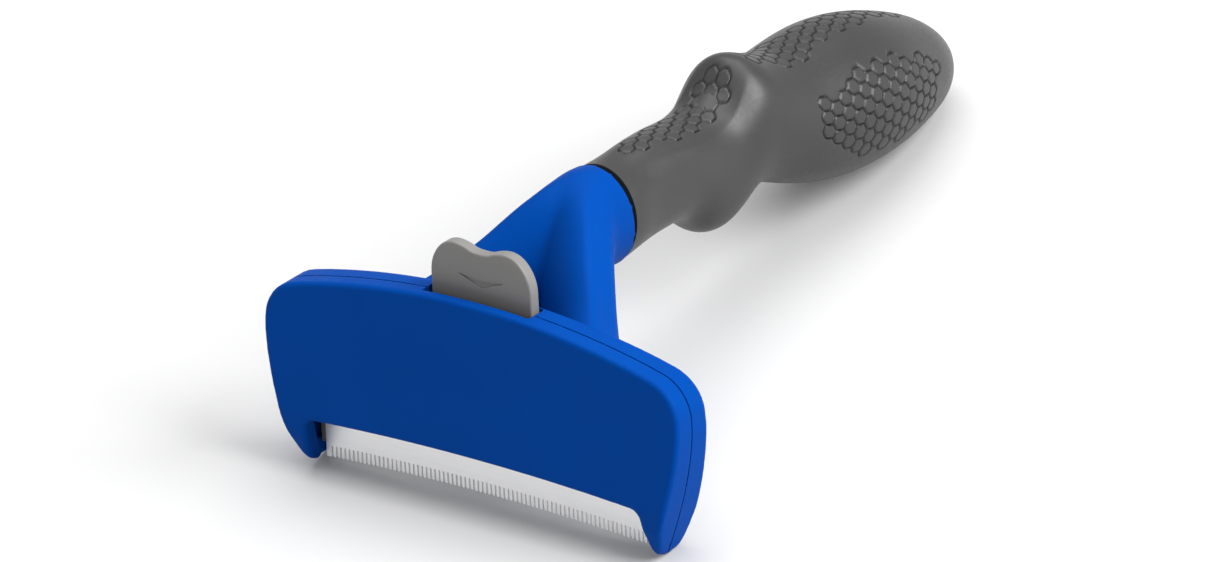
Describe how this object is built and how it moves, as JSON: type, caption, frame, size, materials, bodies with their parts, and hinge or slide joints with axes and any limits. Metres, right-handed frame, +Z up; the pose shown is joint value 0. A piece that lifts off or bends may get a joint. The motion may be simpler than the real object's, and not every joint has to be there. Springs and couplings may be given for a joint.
{
  "type": "deshedding tool",
  "caption": "Pet deshedding comb: wide toothed blade in a two-legged head, spring-loaded push button that wipes the blade, forked neck and soft contoured grip.",
  "frame": {"origin": "on the table, centre of the tool's footprint, as it lies on its two leg tips and the belly of its grip", "axes": "+X across the tool, +Y along the grip from the toothed head to the end of the grip, +Z up; the head's front face looks towards -Y"},
  "size_m": [0.1266, 0.2016, 0.0674],
  "materials": {
    "blue_plastic": "semi gloss moulded ABS",
    "grey_plastic": "satin",
    "soft_grip": "matte soft-touch elastomer",
    "core_plastic": "matte",
    "ground_steel": "ground",
    "spring_steel": "drawn wire",
    "screw_steel": "bright zinc"
  },
  "bodies": {
    "body": {"front_cover": "blue_plastic", "rear_shell": "blue_plastic", "blade": "ground_steel", "blade_rail": "grey_plastic", "blade_screw_1": "screw_steel", "blade_screw_2": "screw_steel", "blade_screw_3": "screw_steel", "blade_screw_4": "screw_steel", "cover_screw_1": "screw_steel", "cover_screw_2": "screw_steel", "cover_screw_3": "screw_steel", "cover_screw_4": "screw_steel", "neck_screw": "screw_steel", "grip_sleeve": "soft_grip", "handle_core_upper": "core_plastic", "handle_core_lower": "core_plastic", "core_screw_1": "screw_steel", "core_screw_2": "screw_steel", "return_spring_left": "spring_steel", "return_spring_right": "spring_steel"},
    "ejector": {"ejector_slider": "grey_plastic"}
  },
  "joints": [
    {"name": "button_slide", "type": "slide", "parent": "body", "child": "ejector", "axis": [0, -0.2188, -0.9758], "range_m": [0, 0.0045], "stiffness_N_per_m": 450, "springref_m": -0.002, "deforming": ["return_spring_left", "return_spring_right"]}
  ]
}
